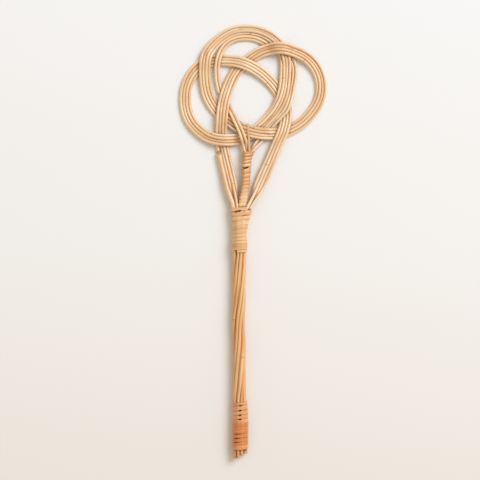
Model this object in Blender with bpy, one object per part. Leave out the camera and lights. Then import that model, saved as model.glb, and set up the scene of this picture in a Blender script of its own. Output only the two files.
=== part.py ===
"""A rattan carpet beater, lying face up on a table.

Four long canes are plaited side by side into one open knot, and two more make a loop inside it.
All the ends run down together as the handle, twelve canes twisted round each other, and bindings
of split cane hold the knot's stem, the neck and the handle's end.
X runs across the beater, Y from the butt of the handle to the top of the head, Z up from the table.
The pieces are worked out from the middle of the butt, and then moved together, so that the middle
of the beater's underside is at the origin.
"""

import math

import bmesh
import bpy
import numpy as np

# Lengths along the beater, from the butt to the top of the head.
END_STUB = 0.0105
END_BINDING_LENGTH = 0.0705
BARE_HANDLE_LENGTH = 0.2255
NECK_BINDING_LENGTH = 0.068
HEAD_LENGTH = 0.2755
HEAD_WIDTH = 0.220

# The canes.
CANE_DIAMETER = 0.0042
SPLICE_DIAMETER = 0.0052
SPLICE_TOP_DIAMETER = 0.0074
CANE_GAP = 0.0003
SPLICE_JOINT = 0.0010
CANE_STEP = 0.0125
HANDLE_STEP = 0.026

# The bindings of split cane.
STRIP_THICKNESS = 0.0018
STRIP_GAP = 0.0006
STEM_STRIP_THICKNESS = 0.0012
SEAT_GAP = 0.0003
TABLE_GAP = 0.0008
TIE_WIDTH = 0.0039
TIE_THICKNESS = 0.0012
COLLAR_LENGTH = 0.0250
FLAT_CUT = 0.0005
NECK_TURNS = 11
END_TURNS = 11
COLLAR_TURNS = 5
STEM_TURNS = 15
HANDLE_TURN = math.radians(180)
TIE_TURN = math.radians(150)
STRIP_EDGE = math.radians(40)

# Routes, as shares of the head's width from the handle's middle, and of its length from the neck.
MAIN_ROUTE_SHARES = (
    (-0.024, 0.000), (-0.047, 0.092), (-0.074, 0.183), (-0.101, 0.273), (-0.120, 0.353),
    (-0.123, 0.418), (-0.120, 0.467), (-0.114, 0.527), (-0.100, 0.588), (-0.077, 0.648),
    (-0.046, 0.705), (-0.012, 0.747), (0.032, 0.780), (0.095, 0.818), (0.154, 0.843),
    (0.202, 0.854), (0.277, 0.859), (0.353, 0.846), (0.432, 0.820), (0.497, 0.777),
    (0.542, 0.712), (0.554, 0.648), (0.541, 0.585), (0.500, 0.525), (0.430, 0.462),
    (0.352, 0.423), (0.277, 0.402), (0.202, 0.396), (0.127, 0.399), (0.046, 0.415),
    (-0.016, 0.438), (-0.080, 0.474), (-0.156, 0.525), (-0.207, 0.587), (-0.230, 0.648),
    (-0.237, 0.708), (-0.236, 0.768), (-0.222, 0.825), (-0.177, 0.877), (-0.119, 0.918),
    (-0.041, 0.951), (0.044, 0.960), (0.134, 0.949), (0.219, 0.916), (0.276, 0.868),
    (0.304, 0.815), (0.313, 0.764), (0.310, 0.708), (0.303, 0.648), (0.285, 0.588),
    (0.247, 0.527), (0.192, 0.473), (0.131, 0.427), (0.066, 0.391), (0.005, 0.370),
    (-0.063, 0.362), (-0.138, 0.363), (-0.213, 0.380), (-0.283, 0.419), (-0.332, 0.464),
    (-0.363, 0.525), (-0.371, 0.588), (-0.363, 0.647), (-0.338, 0.698), (-0.300, 0.742),
    (-0.244, 0.775), (-0.185, 0.792), (-0.116, 0.795), (-0.024, 0.788), (0.051, 0.770),
    (0.125, 0.738), (0.190, 0.696), (0.243, 0.647), (0.284, 0.595), (0.311, 0.538),
    (0.312, 0.484), (0.297, 0.421), (0.257, 0.345), (0.220, 0.273), (0.170, 0.183),
    (0.119, 0.092), (0.088, 0.040), (0.057, 0.000),
)
LOOP_ROUTE_SHARES = (
    (0.004, 0.000), (0.017, 0.045), (0.024, 0.092), (0.033, 0.138), (0.034, 0.205), (0.041, 0.266),
    (0.039, 0.315), (0.024, 0.370), (-0.002, 0.427), (-0.037, 0.481), (-0.068, 0.533),
    (-0.101, 0.579), (-0.129, 0.620), (-0.146, 0.668), (-0.153, 0.717), (-0.152, 0.773),
    (-0.136, 0.826), (-0.105, 0.872), (-0.048, 0.907), (0.042, 0.922), (0.123, 0.910),
    (0.192, 0.879), (0.263, 0.852), (0.324, 0.821), (0.363, 0.783), (0.371, 0.739),
    (0.369, 0.702), (0.358, 0.648), (0.342, 0.588), (0.314, 0.527), (0.248, 0.467),
    (0.188, 0.413), (0.134, 0.356), (0.099, 0.323), (0.067, 0.291), (0.063, 0.245),
    (0.055, 0.201), (0.054, 0.138), (0.044, 0.092), (0.037, 0.045), (0.025, 0.000),
)

# Where the ends are squeezed from a flat band into blocks, as shares of the head's length.
LEG_FLAT_SHARE = 0.14
LOOP_FLAT_SHARE = 0.355
STEM_TOP_SHARE = 0.299
STEM_LOW_SHARE = 0.030
SPLICE_SHARE = 0.300
KNOT_LOW_SHARE = 0.360
TIE_SHARE = 0.061
TIE_TOP_SHARE = 0.455
# Over (1) or under (-1) at each crossing that the inner loop makes, from its left end.
LOOP_CROSSINGS = (1, 1, -1, 1, -1, -1, 1, -1)
# How close the canes of a band crowd in the knot, every other one riding up, as a share of a pitch.
CROWD_SHARE = 0.94
# How far each cut end stops short of the butt, as shares of the stub.
BUTT_SHARES = (0.65, 0.20, 0.70, 0.00, 0.60, 0.15, 0.55, 0.05, 0.50, 0.25, 0.45, 0.10)

# The split cane's back is narrower than its face, and the stem's strip stops short of its last
# turn's end by a share of a turn. The colours are of varnished rattan.
STRIP_BACK_SHARE = 0.76
STEM_SHORT_SHARE = 0.125
CANE_COLOUR = (0.84, 0.60, 0.34)
STRIP_COLOUR = (0.75, 0.44, 0.19)
CANE_ROUGHNESS = 0.42
STRIP_ROUGHNESS = 0.38

# Fine points for each step along a cane, where the heights are worked out.
FINE = 4
LOOP_POINTS = 24
STEM_LOOP_POINTS = 16
# Rounds of settling. The last ones only clear what still touches.
HEIGHT_ROUNDS = 500
SPREAD_ROUNDS = 400
CLEAR_ROUNDS = 120
CLIMB_ROUNDS = 3
# In each round a cane sinks by a share of a pitch, bends toward its neighbouring points by the
# stiffness, keeps the held share of its move, and gives way by the push share of an overlap.
SINK_SHARE = 0.01
STIFF_SHARE = 0.4
HELD_SHARE = 0.99
PUSH_SHARE = 1.5
# Points along one cane that are this near each other bend rather than touch.
JOINED_POINTS = 4
# A crossing counts for canes that meet within this many pitches of it along their routes.
CROSSING_PITCHES = 16
BESIDE_PITCHES = 8

END_LOW = END_STUB
END_HIGH = END_LOW + END_BINDING_LENGTH
NECK_LOW = END_HIGH + BARE_HANDLE_LENGTH
NECK_HIGH = NECK_LOW + NECK_BINDING_LENGTH
KNOT_LOW = NECK_HIGH + KNOT_LOW_SHARE * HEAD_LENGTH
STEM_TOP = NECK_HIGH + STEM_TOP_SHARE * HEAD_LENGTH
STEM_LOW = NECK_HIGH + STEM_LOW_SHARE * HEAD_LENGTH
SPLICE_TOP = NECK_HIGH + SPLICE_SHARE * HEAD_LENGTH
TIE_X = TIE_SHARE * HEAD_WIDTH
TIE_TOP = NECK_HIGH + TIE_TOP_SHARE * HEAD_LENGTH
TIE_LOW = STEM_TOP + TIE_THICKNESS + TABLE_GAP
COLLAR_LOW = STEM_TOP - COLLAR_LENGTH
# The stem's last turn lies along the collar's first, so it ends where the collar starts.
STEM_HIGH = COLLAR_LOW + (COLLAR_LOW - STEM_LOW) / (STEM_TURNS - 1) - STRIP_GAP

PITCH = CANE_DIAMETER + CANE_GAP
RADIUS = CANE_DIAMETER / 2
# In the handle the canes lie on a square grid of four by four with its corners bare.
INNER_ROW = PITCH / 2
OUTER_ROW = 3 * PITCH / 2
# The thicker cane touches the core cane and the ring cane beside it, which are a diagonal apart.
SPLICE_REACH = (CANE_DIAMETER + SPLICE_DIAMETER) / 2 + CANE_GAP
SPLICE_SHIFT = math.sqrt(SPLICE_REACH**2 / 2 - INNER_ROW**2)
SPLICE_PLACE = (-PITCH - SPLICE_SHIFT, SPLICE_SHIFT)
# A winding starts and ends at the back, on a cane right of the middle.
WINDING_START = math.radians(-67.5)
# Two of the handle's canes face the table, so the strip under them lies flat between the two.
# The thicker cane passes under the handle's middle and stays off the table.
BINDING_REACH = OUTER_ROW + RADIUS + SEAT_GAP + STRIP_THICKNESS
AXIS_HEIGHT = max(BINDING_REACH - FLAT_CUT, math.hypot(*SPLICE_PLACE) + SPLICE_DIAMETER / 2)
STEM_HEIGHT = PITCH / 2 + RADIUS + SEAT_GAP + STEM_STRIP_THICKNESS + TABLE_GAP


def clear_scene():
    for item in list(bpy.data.objects):
        bpy.data.objects.remove(item)


def ease(share):
    """A smooth step from 0 to 1."""
    share = np.clip(share, 0, 1)
    return share * share * (3 - 2 * share)


def head_points(shares):
    return np.array(shares) * (HEAD_WIDTH, HEAD_LENGTH) + (0, NECK_HIGH)


def smooth_route(points, step):
    """Points every step along a centripetal Catmull-Rom curve through the given ones."""
    before = 2 * points[0] - points[1]
    after = 2 * points[-1] - points[-2]
    points = np.vstack([before, points, after])
    out = []
    for p0, p1, p2, p3 in zip(points, points[1:], points[2:], points[3:]):
        t1 = np.linalg.norm(p1 - p0) ** 0.5
        t2 = t1 + np.linalg.norm(p2 - p1) ** 0.5
        t3 = t2 + np.linalg.norm(p3 - p2) ** 0.5
        t = np.linspace(t1, t2, LOOP_POINTS, endpoint=False)[:, None]
        a1 = p0 + (p1 - p0) * t / t1
        a2 = p1 + (p2 - p1) * (t - t1) / (t2 - t1)
        a3 = p2 + (p3 - p2) * (t - t2) / (t3 - t2)
        b1 = a1 + (a2 - a1) * t / t2
        b2 = a2 + (a3 - a2) * (t - t1) / (t3 - t1)
        out.append(b1 + (b2 - b1) * (t - t1) / (t2 - t1))
    curve = np.vstack(out + [points[-2][None]])
    along = np.concatenate([[0], np.cumsum(np.linalg.norm(np.diff(curve, axis=0), axis=1))])
    stops = np.linspace(0, along[-1], round(along[-1] / step) + 1)
    return np.stack([np.interp(stops, along, column) for column in curve.T], 1)


def side_of(route):
    """The direction to the left of travel at each point of a flat route."""
    along = np.gradient(route, axis=0)
    along /= np.linalg.norm(along, axis=1)[:, None]
    return np.stack([-along[:, 1], along[:, 0]], 1)


def leg_height(y):
    """The height of the middle of a leg or of the stem, rising from the knot to the handle."""
    return STEM_HEIGHT + (AXIS_HEIGHT - STEM_HEIGHT) * ease((KNOT_LOW - y) / (KNOT_LOW - NECK_LOW))


class Band:
    """Canes that run side by side along one route.

    flat, block and ring hold a place for each cane, as (aside, up) from the band's middle line:
    in the knot, where the neck squeezes the band, and in the handle.
    """

    def __init__(self, shares, flat, block, ring, flat_y, block_y):
        low = [(0, NECK_LOW - HANDLE_STEP), (0, NECK_LOW)]
        self.middle = smooth_route(np.vstack([low, head_points(shares), low[::-1]]), CANE_STEP / FINE)
        self.along = np.arange(len(self.middle)) * CANE_STEP / FINE
        self.ring = ring
        y = self.middle[:, 1]
        self.free = y > flat_y
        blocked = ease((flat_y - y) / (flat_y - block_y))[:, None]
        ringed = ease((NECK_HIGH - y) / (NECK_HIGH - NECK_LOW))[:, None]
        side = side_of(self.middle)
        self.canes = []
        crowded = 1 - (1 - CROWD_SHARE) * ease((y - flat_y) / (KNOT_LOW - flat_y))[:, None]
        for lying, squeezed, rounded in zip(np.array(flat), np.array(block), np.array(ring)):
            place = lying * crowded
            place = place + (squeezed - place) * blocked
            place = place + (rounded - place) * ringed
            across = self.middle + side * place[:, :1]
            self.canes.append(np.hstack([across, leg_height(y)[:, None] + place[:, 1:]]))


def main_band():
    """The four long canes. The first is the outermost on both legs."""
    flat = [((1.5 - n) * PITCH, 0) for n in range(4)]
    block = [(side * PITCH / 2, up * PITCH / 2) for side in (1, -1) for up in (1, -1)]
    ring = [(OUTER_ROW, INNER_ROW), (OUTER_ROW, -INNER_ROW)]
    ring += [(INNER_ROW, OUTER_ROW), (INNER_ROW, -OUTER_ROW)]
    flat_y = NECK_HIGH + LEG_FLAT_SHARE * HEAD_LENGTH
    return Band(MAIN_ROUTE_SHARES, flat, block, ring, flat_y, NECK_HIGH)


def loop_band():
    """The two canes of the inner loop, whose ends make the stem and the handle's core."""
    flat = [(PITCH / 2, 0), (-PITCH / 2, 0)]
    block = [(0, PITCH / 2), (0, -PITCH / 2)]
    ring = [(INNER_ROW, INNER_ROW), (INNER_ROW, -INNER_ROW)]
    flat_y = NECK_HIGH + LOOP_FLAT_SHARE * HEAD_LENGTH
    return Band(LOOP_ROUTE_SHARES, flat, block, ring, flat_y, STEM_TOP)


def meetings(a, b):
    """Where two flat routes cross, as places along each, in order along the first."""
    p, u = a.middle[:-1], np.diff(a.middle, axis=0)
    q, v = b.middle[:-1], np.diff(b.middle, axis=0)
    gap = q[None] - p[:, None]
    turn = u[:, None, 0] * v[None, :, 1] - u[:, None, 1] * v[None, :, 0]
    turn = np.where(turn == 0, np.inf, turn)
    s = (gap[..., 0] * v[None, :, 1] - gap[..., 1] * v[None, :, 0]) / turn
    t = (gap[..., 0] * u[:, None, 1] - gap[..., 1] * u[:, None, 0]) / turn
    met = (s >= 0) & (s < 1) & (t >= 0) & (t < 1)
    met &= (a.free[:-1, None]) & (b.free[None, :-1])
    if a is b:
        met &= np.abs(a.along[:-1, None] - b.along[None, :-1]) > CANE_STEP
    return [(a.along[i], b.along[j]) for i, j in zip(*np.nonzero(met))]


def crossings(main, loop):
    """Each crossing as (band, band, place along each, 1 where the first band is on top)."""
    found = []
    # The main band goes under and over in turn, from the left leg.
    for n, (here, there) in enumerate(meetings(main, main)):
        found.append((0, 0, here, there, 1 if n % 2 else -1))
    for order, (here, there) in zip(LOOP_CROSSINGS, meetings(loop, main)):
        found.append((1, 0, here, there, order))
        found.append((0, 1, there, here, -order))
    return found


def floor_height(x, y):
    """The lowest a cane's middle may lie. The strand of the tie runs under the canes it holds."""
    half = (TIE_TOP - STEM_TOP) / 2 + PITCH
    away = np.hypot(x - TIE_X, y - (STEM_TOP + TIE_TOP) / 2)
    return RADIUS + (TIE_THICKNESS + SEAT_GAP + TABLE_GAP) * ease(2 - away / half)


def settle_heights(bands, order):
    """Lifts the canes over and under each other as the crossings say, and lets the rest sink."""
    canes = [cane for band in bands for cane in band.canes]
    counts = [len(cane) for cane in canes]
    spots = np.vstack(canes)
    which = np.concatenate([np.full(len(c), n) for n, b in enumerate(bands) for c in b.canes])
    along = np.concatenate([b.along for b in bands for _ in b.canes])
    free = np.concatenate([b.free for b in bands for _ in b.canes])
    x, y, z = spots.T
    apart = (x[:, None] - x) ** 2 + (y[:, None] - y) ** 2
    near = np.triu(apart < PITCH**2, 1) & free[:, None] & free
    number = np.concatenate([np.full(len(c), n) for b in bands for n, c in enumerate(b.canes)])
    beside = (which[:, None] == which) & (np.abs(along[:, None] - along) < BESIDE_PITCHES * PITCH)
    near &= ~beside | (np.abs(number[:, None] - number) == 1)
    i, j = np.nonzero(near)
    need = np.sqrt(PITCH**2 - apart[i, j])
    sign = np.zeros(len(i))
    nearest = np.full(len(i), CROSSING_PITCHES * PITCH)
    for a, b, here, there, above in order:
        away = np.abs(along[i] - here) + np.abs(along[j] - there)
        won = (which[i] == a) & (which[j] == b) & (away < nearest)
        nearest[won] = away[won]
        sign[won] = above
    rides = np.where(number[i] % 2, -1, 1)
    sign = np.where(beside[i, j], rides, sign)
    i, j, need, sign = (column[sign != 0] for column in (i, j, need, sign))
    floor = floor_height(x, y)
    low = np.concatenate([np.arange(n) for n in counts]) == 0
    start = np.cumsum([0] + counts[:-1])
    first = np.repeat(start, counts)
    last = np.repeat(start + np.array(counts) - 1, counts)
    index = np.arange(len(z))
    sink = SINK_SHARE * PITCH
    for n in range(HEIGHT_ROUNDS):
        if n < HEIGHT_ROUNDS - CLEAR_ROUNDS:
            smooth = np.zeros_like(z)
            for step in (1, 2, 4):
                smooth += z[np.maximum(index - step, first)] + z[np.minimum(index + step, last)]
            z = np.where(free, smooth / 6 - sink, z)
        short = need - sign * (z[i] - z[j])
        bad = short > 0
        push = sign[bad] * short[bad] / 2
        total = np.bincount(i[bad], push, len(z)) - np.bincount(j[bad], push, len(z))
        hits = np.bincount(i[bad], minlength=len(z)) + np.bincount(j[bad], minlength=len(z))
        z = np.where(free, z + total / np.maximum(hits, 1) * PUSH_SHARE, z)
        z = np.where(free, np.maximum(z, floor), z)
    for band, cane, begin in zip([b for b in bands for _ in b.canes], canes, start):
        cane[:, 2] = z[begin : begin + len(cane)]
    worst = (need - sign * (z[i] - z[j])).max()
    print(f"heights settled over {len(i)} close spots, the worst {worst * 1000:.2f} mm short")


def handle_run(aside, up, butt):
    """A cane's points down the handle, from the neck to its cut end near the butt."""
    count = max(2, round(BARE_HANDLE_LENGTH / HANDLE_STEP) + 1)
    y = np.linspace(NECK_LOW, END_HIGH, count)
    turn = HANDLE_TURN * (NECK_LOW - y) / BARE_HANDLE_LENGTH
    x = aside * np.cos(turn) - up * np.sin(turn)
    z = aside * np.sin(turn) + up * np.cos(turn)
    run = np.stack([x, y, AXIS_HEIGHT + z], 1)
    return np.vstack([run, [x[-1], butt, AXIS_HEIGHT + z[-1]]])


def splice_radius(y):
    """The radius of the thicker cane, which widens from the neck up to its cut end."""
    widening = ease((y - NECK_LOW) / (SPLICE_TOP - NECK_LOW))
    return (SPLICE_DIAMETER + (SPLICE_TOP_DIAMETER - SPLICE_DIAMETER) * widening) / 2


def whole_canes(bands):
    """Each cane from one cut end to the other, as a name, its points and its radius at each."""
    out = []
    butts = iter(np.array(BUTT_SHARES) * END_STUB)
    for band, name in zip(bands, ("main_cane", "inner_cane")):
        knot = np.arange(0, len(band.middle), FINE)
        knot = knot[band.middle[knot, 1] > NECK_LOW + CANE_STEP / 2]
        for n, (cane, (aside, up)) in enumerate(zip(band.canes, band.ring)):
            # The outermost cane is cut on the left leg, and a thicker one goes on from there.
            place = SPLICE_PLACE if not out else (-aside, up)
            left = handle_run(*place, next(butts))[::-1]
            right = handle_run(aside, up, next(butts))
            points = np.vstack([left, cane[knot], right])
            out.append((f"{name}_{n + 1}", points, np.full(len(points), RADIUS)))
    _, points, radius = out[0]
    above = np.argmax(points[:, 1] > SPLICE_TOP)
    radius[:above] = splice_radius(points[:above, 1])
    return out


def split_at_splice(cane):
    """The outermost cane above the splice, and the thicker one below it."""
    name, points, radius = cane
    above = int(np.argmax(points[:, 1] > SPLICE_TOP))
    ends = []
    for y in (SPLICE_TOP, SPLICE_TOP - SPLICE_JOINT):
        share = (y - points[above - 1, 1]) / (points[above, 1] - points[above - 1, 1])
        ends.append(points[above - 1] + (points[above] - points[above - 1]) * share)
    upper = name, np.vstack([ends[0], points[above:]]), np.full(len(points) - above + 1, RADIUS)
    lower = np.vstack([points[:above], ends[1]])
    return [upper, ("splice_cane", lower, np.append(radius[:above], radius[above - 1]))]


def closest(p0, p1, q0, q1):
    """The shares along pairs of straight runs where they are nearest, and the way between."""
    u, v, w = p1 - p0, q1 - q0, p0 - q0
    a, e = (u * u).sum(1), (v * v).sum(1)
    b, c, f = (u * v).sum(1), (u * w).sum(1), (v * w).sum(1)
    spread = a * e - b * b
    level = np.isclose(spread / (a * e), 0)
    s = np.clip(np.where(level, 0, (b * f - c * e) / np.where(level, 1, spread)), 0, 1)
    t = np.clip((b * s + f) / e, 0, 1)
    s = np.clip((b * t - c) / a, 0, 1)
    t = np.clip((b * s + f) / e, 0, 1)
    return s, t, w + u * s[:, None] - v * t[:, None]


def push_apart(canes):
    """Moves the canes' points until no two canes touch, and none lies under the table."""
    points = np.vstack([cane for _, cane, _ in canes])
    counts = [len(cane) for _, cane, _ in canes]
    owner = np.repeat(np.arange(len(canes)), counts)
    radius = np.concatenate([size for *_, size in canes])
    inner = np.repeat([name.startswith("inner") for name, *_ in canes], counts)
    stem = inner & (points[:, 1] > STEM_LOW - CANE_STEP) & (points[:, 1] < STEM_TOP + CANE_STEP)
    coat = np.where(stem, SEAT_GAP + STEM_STRIP_THICKNESS, 0)
    held = points[:, 1] <= NECK_LOW
    aim = points.copy()
    index = np.arange(len(points))
    before = np.where(np.roll(owner, 1) == owner, index - 1, index)
    after = np.where(np.roll(owner, -1) == owner, index + 1, index)
    runs = index[after != index]
    middle = (points[runs] + points[runs + 1]) / 2
    half = np.linalg.norm(points[runs + 1] - points[runs], axis=1) / 2
    gap = np.linalg.norm(middle[:, None] - middle, axis=2)
    reach = half[:, None] + half + 2 * PITCH
    near = np.triu(gap < reach, 1)
    near &= (owner[runs][:, None] != owner[runs]) | (index[runs][:, None] - index[runs] < -JOINED_POINTS)
    near &= ~(held[runs][:, None] & held[runs])
    i, j = (runs[k] for k in np.nonzero(near))
    wide = np.maximum(radius[i], radius[i + 1]) + np.maximum(radius[j], radius[j + 1])
    need = wide + CANE_GAP + np.where(inner[i] != inner[j], np.maximum(coat[i], coat[j]), 0)
    floor = floor_height(points[:, 0], points[:, 1]) + radius - RADIUS
    for n in range(SPREAD_ROUNDS + CLEAR_ROUNDS):
        if n < SPREAD_ROUNDS:
            moved = points - aim
            moved += STIFF_SHARE * ((moved[before] + moved[after]) / 2 - moved)
            points = np.where(held[:, None], points, aim + moved * HELD_SHARE)
        s, t, way = closest(points[i], points[i + 1], points[j], points[j + 1])
        far = np.linalg.norm(way, axis=1)
        bad = far < need
        s, t, far = s[bad], t[bad], far[bad]
        push = way[bad] / np.maximum(far, CANE_GAP)[:, None] * (need[bad] - far)[:, None] / 2
        total = np.zeros_like(points)
        hits = np.zeros(len(points))
        for ends, share, sense in ((i[bad], 1 - s, 1), (i[bad] + 1, s, 1), (j[bad], 1 - t, -1),
                                   (j[bad] + 1, t, -1)):
            for axis in range(3):
                total[:, axis] += np.bincount(ends, push[:, axis] * share * sense, len(points))
            hits += np.bincount(ends, share, len(points))
        step = total / np.maximum(hits, 1)[:, None] * PUSH_SHARE
        points = np.where(held[:, None], points, points + step)
        points[:, 2] = np.where(held, points[:, 2], np.maximum(points[:, 2], floor))
    s, t, way = closest(points[i], points[i + 1], points[j], points[j + 1])
    spare = np.linalg.norm(way, axis=1) - wide
    worst = np.argmin(spare)
    moved = np.linalg.norm(points - aim, axis=1)
    print(f"canes clear each other by {spare[worst] * 1000:.2f} mm at least, "
          f"at {np.round(points[i[worst]] * 1000, 1)}, and moved {moved.max() * 1000:.1f} mm at most")
    start = np.cumsum([0] + counts[:-1])
    return [
        (name, points[begin : begin + count], size)
        for (name, _, size), begin, count in zip(canes, start, counts)
    ]


def support(spots, normals, lift):
    """Where a band drawn tight round the spots lies, for each outward direction.

    spots are rows of two places and a radius.
    """
    far = np.argmax(normals @ spots[:, :2].T + spots[:, 2], axis=1)
    return spots[far, :2] + normals * (spots[far, 2:] + lift)


def section(canes, y):
    """Where the canes pass the height y, as rows of x, z and radius."""
    rows = []
    for _, points, radius in canes:
        above = points[:, 1] > y
        for k in np.nonzero(above[1:] != above[:-1])[0]:
            share = (y - points[k, 1]) / (points[k + 1, 1] - points[k, 1])
            x, _, z = points[k] + (points[k + 1] - points[k]) * share
            rows.append((x, z, radius[k]))
    return np.array(rows)


def outline(rows):
    """The line drawn tight round the rows' canes, by a measure that runs from 0 to 1.

    The measure grows with length on the straights and with turning on the bends, so that even
    steps of it follow both. Given with it are the share of the way round, the places and the
    outward directions, as angles.
    """
    turning = np.linspace(0, math.tau, 4 * LOOP_POINTS + 1) + WINDING_START
    outward = np.stack([np.cos(turning), np.sin(turning)], 1)
    places = support(rows, outward, SEAT_GAP)
    length = np.concatenate([[0], np.cumsum(np.linalg.norm(np.diff(places, axis=0), axis=1))])
    measure = (length / length[-1] + (turning - WINDING_START) / math.tau) / 2
    x, z = (places - rows[:, :2].mean(axis=0)).T
    way_round = (np.unwrap(np.arctan2(z, x)) - WINDING_START) / math.tau
    return measure, way_round, places, turning


def winding(canes, low, high, turns, loop_points, short_share=0):
    """The middle line and outward directions of a strip wound round the canes, and its width.

    It climbs one pitch a turn, evenly by its way round, so that each turn lies along the last.
    The strip stops short of the last turn's end by that share of a turn.
    """
    pitch = (high - low + STRIP_GAP) / turns
    width = pitch - STRIP_GAP
    spots, normals = [], []
    short = round(short_share * loop_points)
    for step in range((turns - 1) * loop_points + 1 - short):
        loop, part = divmod(step, loop_points)
        stop = part / loop_points
        start = low + width / 2 + pitch * loop
        y = start + pitch * stop
        for _ in range(CLIMB_ROUNDS):
            rows = [section(canes, y + aside) for aside in (-width / 2, 0, width / 2)]
            measure, way_round, places, turning = outline(np.vstack(rows))
            y = start + pitch * np.interp(stop, measure, way_round)
        x, z = (np.interp(stop, measure, column) for column in places.T)
        angle = np.interp(stop, measure, turning)
        spots.append((x, y, z))
        normals.append((math.cos(angle), 0, math.sin(angle)))
    return np.array(spots), np.array(normals), width


def strip_object(name, axis, spots, normals, width, thickness):
    """A flat strip of split cane wound about the axis, its back narrowed and its ends straight."""
    axis = np.array(axis)
    length = np.linalg.norm(np.diff(spots, axis=0), axis=1).sum()
    slope = (spots[-1] - spots[0]) @ axis / length
    spots = np.vstack([2 * spots[0] - spots[1], spots, 2 * spots[-1] - spots[-2]])
    for end, inside in ((0, 1), (-1, -2)):
        run = spots[end] - spots[inside]
        spots[end] = spots[inside] + run / np.linalg.norm(run) * thickness
    normals = np.vstack([normals[0], normals, normals[-1]])
    across = axis - slope * np.cross(normals, axis)
    across /= np.linalg.norm(across, axis=1)[:, None]
    mesh = bmesh.new()
    face, back = across * width / 2, across * width * STRIP_BACK_SHARE / 2
    lift = normals * thickness
    edges = spots - face, spots + face, spots + back + lift, spots - back + lift
    rings = [[mesh.verts.new(place) for place in ring] for ring in zip(*edges)]
    for one, two in zip(rings, rings[1:]):
        for k in range(4):
            mesh.faces.new((one[k], one[k - 1], two[k - 1], two[k]))
    mesh.faces.new(rings[0])
    mesh.faces.new(rings[-1][::-1])
    bmesh.ops.recalc_face_normals(mesh, faces=mesh.faces)
    data = bpy.data.meshes.new(name)
    mesh.to_mesh(data)
    mesh.free()
    data.shade_smooth()
    data.set_sharp_from_angle(angle=STRIP_EDGE)
    item = bpy.data.objects.new(name, data)
    bpy.context.collection.objects.link(item)
    return item, edges[0], edges[1]


def edge_gap(one, two, loop_points):
    """The least gap between the two edges of a strip, from one turn to another."""
    i, j = np.nonzero(np.ones((len(one) - 1, len(two) - 1)))
    apart = np.abs(i - j) > loop_points / 2
    i, j = i[apart], j[apart]
    _, _, way = closest(one[i], one[i + 1], two[j], two[j + 1])
    return np.linalg.norm(way, axis=1).min()


def tie_path(canes):
    """The strand round the knot's lower band: up its front, over its top edge and down behind."""
    reach = TIE_WIDTH / 2 + SEAT_GAP
    rows = []
    for _, points, radius in canes:
        count = np.arange(len(points))
        fine = np.linspace(0, len(points) - 1, (len(points) - 1) * 2 * FINE + 1)
        x, y, z = (np.interp(fine, count, column) for column in points.T)
        held = (np.abs(x - TIE_X) < reach + radius[0]) & (y > STEM_TOP - PITCH) & (y < TIE_TOP)
        rows += list(zip(y[held], z[held], np.full(held.sum(), radius[0])))
    angles = np.linspace(TIE_TURN, -TIE_TURN, LOOP_POINTS + 1)
    outward = np.stack([np.cos(angles), np.sin(angles)], 1)
    path = support(np.array(rows), outward, SEAT_GAP)
    inside = np.nonzero(path[:, 0] > TIE_LOW)[0]
    first, last = inside[0] - 1, inside[-1] + 1
    for end, toward in ((first, first + 1), (last, last - 1)):
        share = (TIE_LOW - path[end, 0]) / (path[toward, 0] - path[end, 0])
        path[end] += (path[toward] - path[end]) * share
    kept = slice(first, last + 1)
    y, z = path[kept].T
    along, up = outward[kept].T
    return np.stack([np.full_like(y, TIE_X), y, z], 1), np.stack([np.zeros_like(y), along, up], 1)


def cane_object(name, points, radius):
    curve = bpy.data.curves.new(name, "CURVE")
    curve.dimensions = "3D"
    curve.bevel_depth = radius[0]
    curve.bevel_resolution = 1
    curve.use_fill_caps = True
    spline = curve.splines.new("POLY")
    spline.points.add(len(points) - 1)
    for spot, place, share in zip(spline.points, points, radius / radius[0]):
        spot.co = (*place, 1)
        spot.radius = share
    item = bpy.data.objects.new(name, curve)
    bpy.context.collection.objects.link(item)
    return item


def finish(item, colour, roughness):
    """Gives the piece a material of its own."""
    made = bpy.data.materials.new(item.name)
    made.use_nodes = True
    shader = made.node_tree.nodes["Principled BSDF"]
    shader.inputs["Base Color"].default_value = (*colour, 1)
    shader.inputs["Roughness"].default_value = roughness
    item.data.materials.append(made)


def table_cutter():
    """A block from the table down, which takes the flats on which the bindings rest."""
    reach = HEAD_LENGTH + HEAD_WIDTH
    bpy.ops.mesh.primitive_cube_add(size=1, location=(0, (END_LOW + NECK_HIGH) / 2, -PITCH))
    block = bpy.context.object
    block.name = "table_cutter"
    block.scale = (HEAD_WIDTH, reach + NECK_HIGH, 2 * PITCH)
    block.hide_render = True
    block.display_type = "WIRE"
    return block


def centre_part(pieces):
    """Moves everything so that the middle of the pieces' underside is at the origin."""
    graph = bpy.context.evaluated_depsgraph_get()
    shapes = [piece.evaluated_get(graph).to_mesh() for piece in pieces]
    spots = np.array([vertex.co for shape in shapes for vertex in shape.vertices])
    x, y, _ = (spots.min(axis=0) + spots.max(axis=0)) / 2
    for item in bpy.data.objects:
        item.location.x -= x
        item.location.y -= y
    print(f"the butt's middle is at {-x * 1000:.2f}, {-y * 1000:.2f} mm")


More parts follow.
